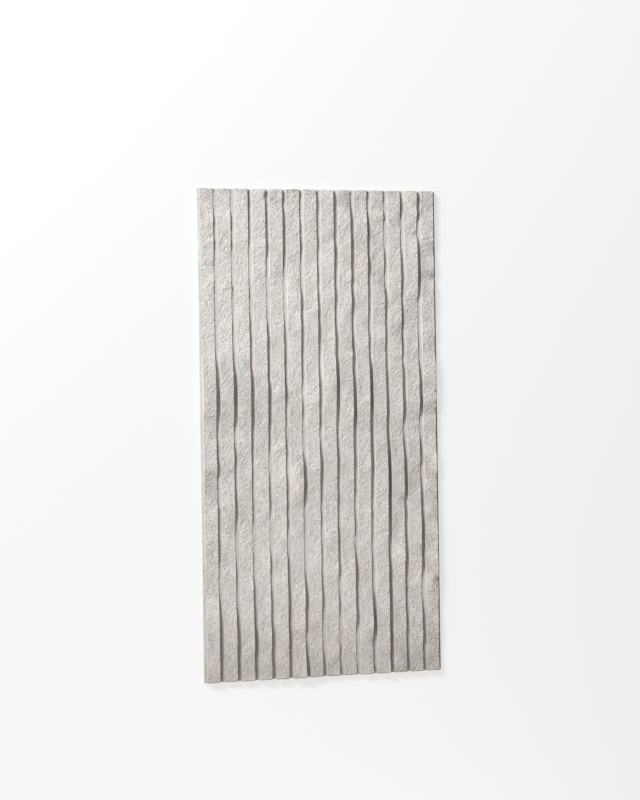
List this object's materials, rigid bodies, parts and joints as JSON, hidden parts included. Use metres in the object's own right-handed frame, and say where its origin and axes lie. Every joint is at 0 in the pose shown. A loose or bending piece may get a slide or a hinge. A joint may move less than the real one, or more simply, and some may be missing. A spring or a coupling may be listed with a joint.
{
  "type": "wall panel",
  "caption": "Rectangular stone-look wall panel: parallel split-face ribs with plain grooves between them and a narrow ledge along both long edges.",
  "frame": {"origin": "middle of the flat back face, at the floor it lies on", "axes": "+X across the ribs, +Y along the ribs towards the end shown uppermost in the picture, +Z out of the decorative face"},
  "size_m": [0.6, 1.2, 0.0291],
  "materials": {
    "cast_stone": "matte"
  },
  "bodies": {
    "root": {"wall_panel": "cast_stone"}
  },
  "joints": []
}
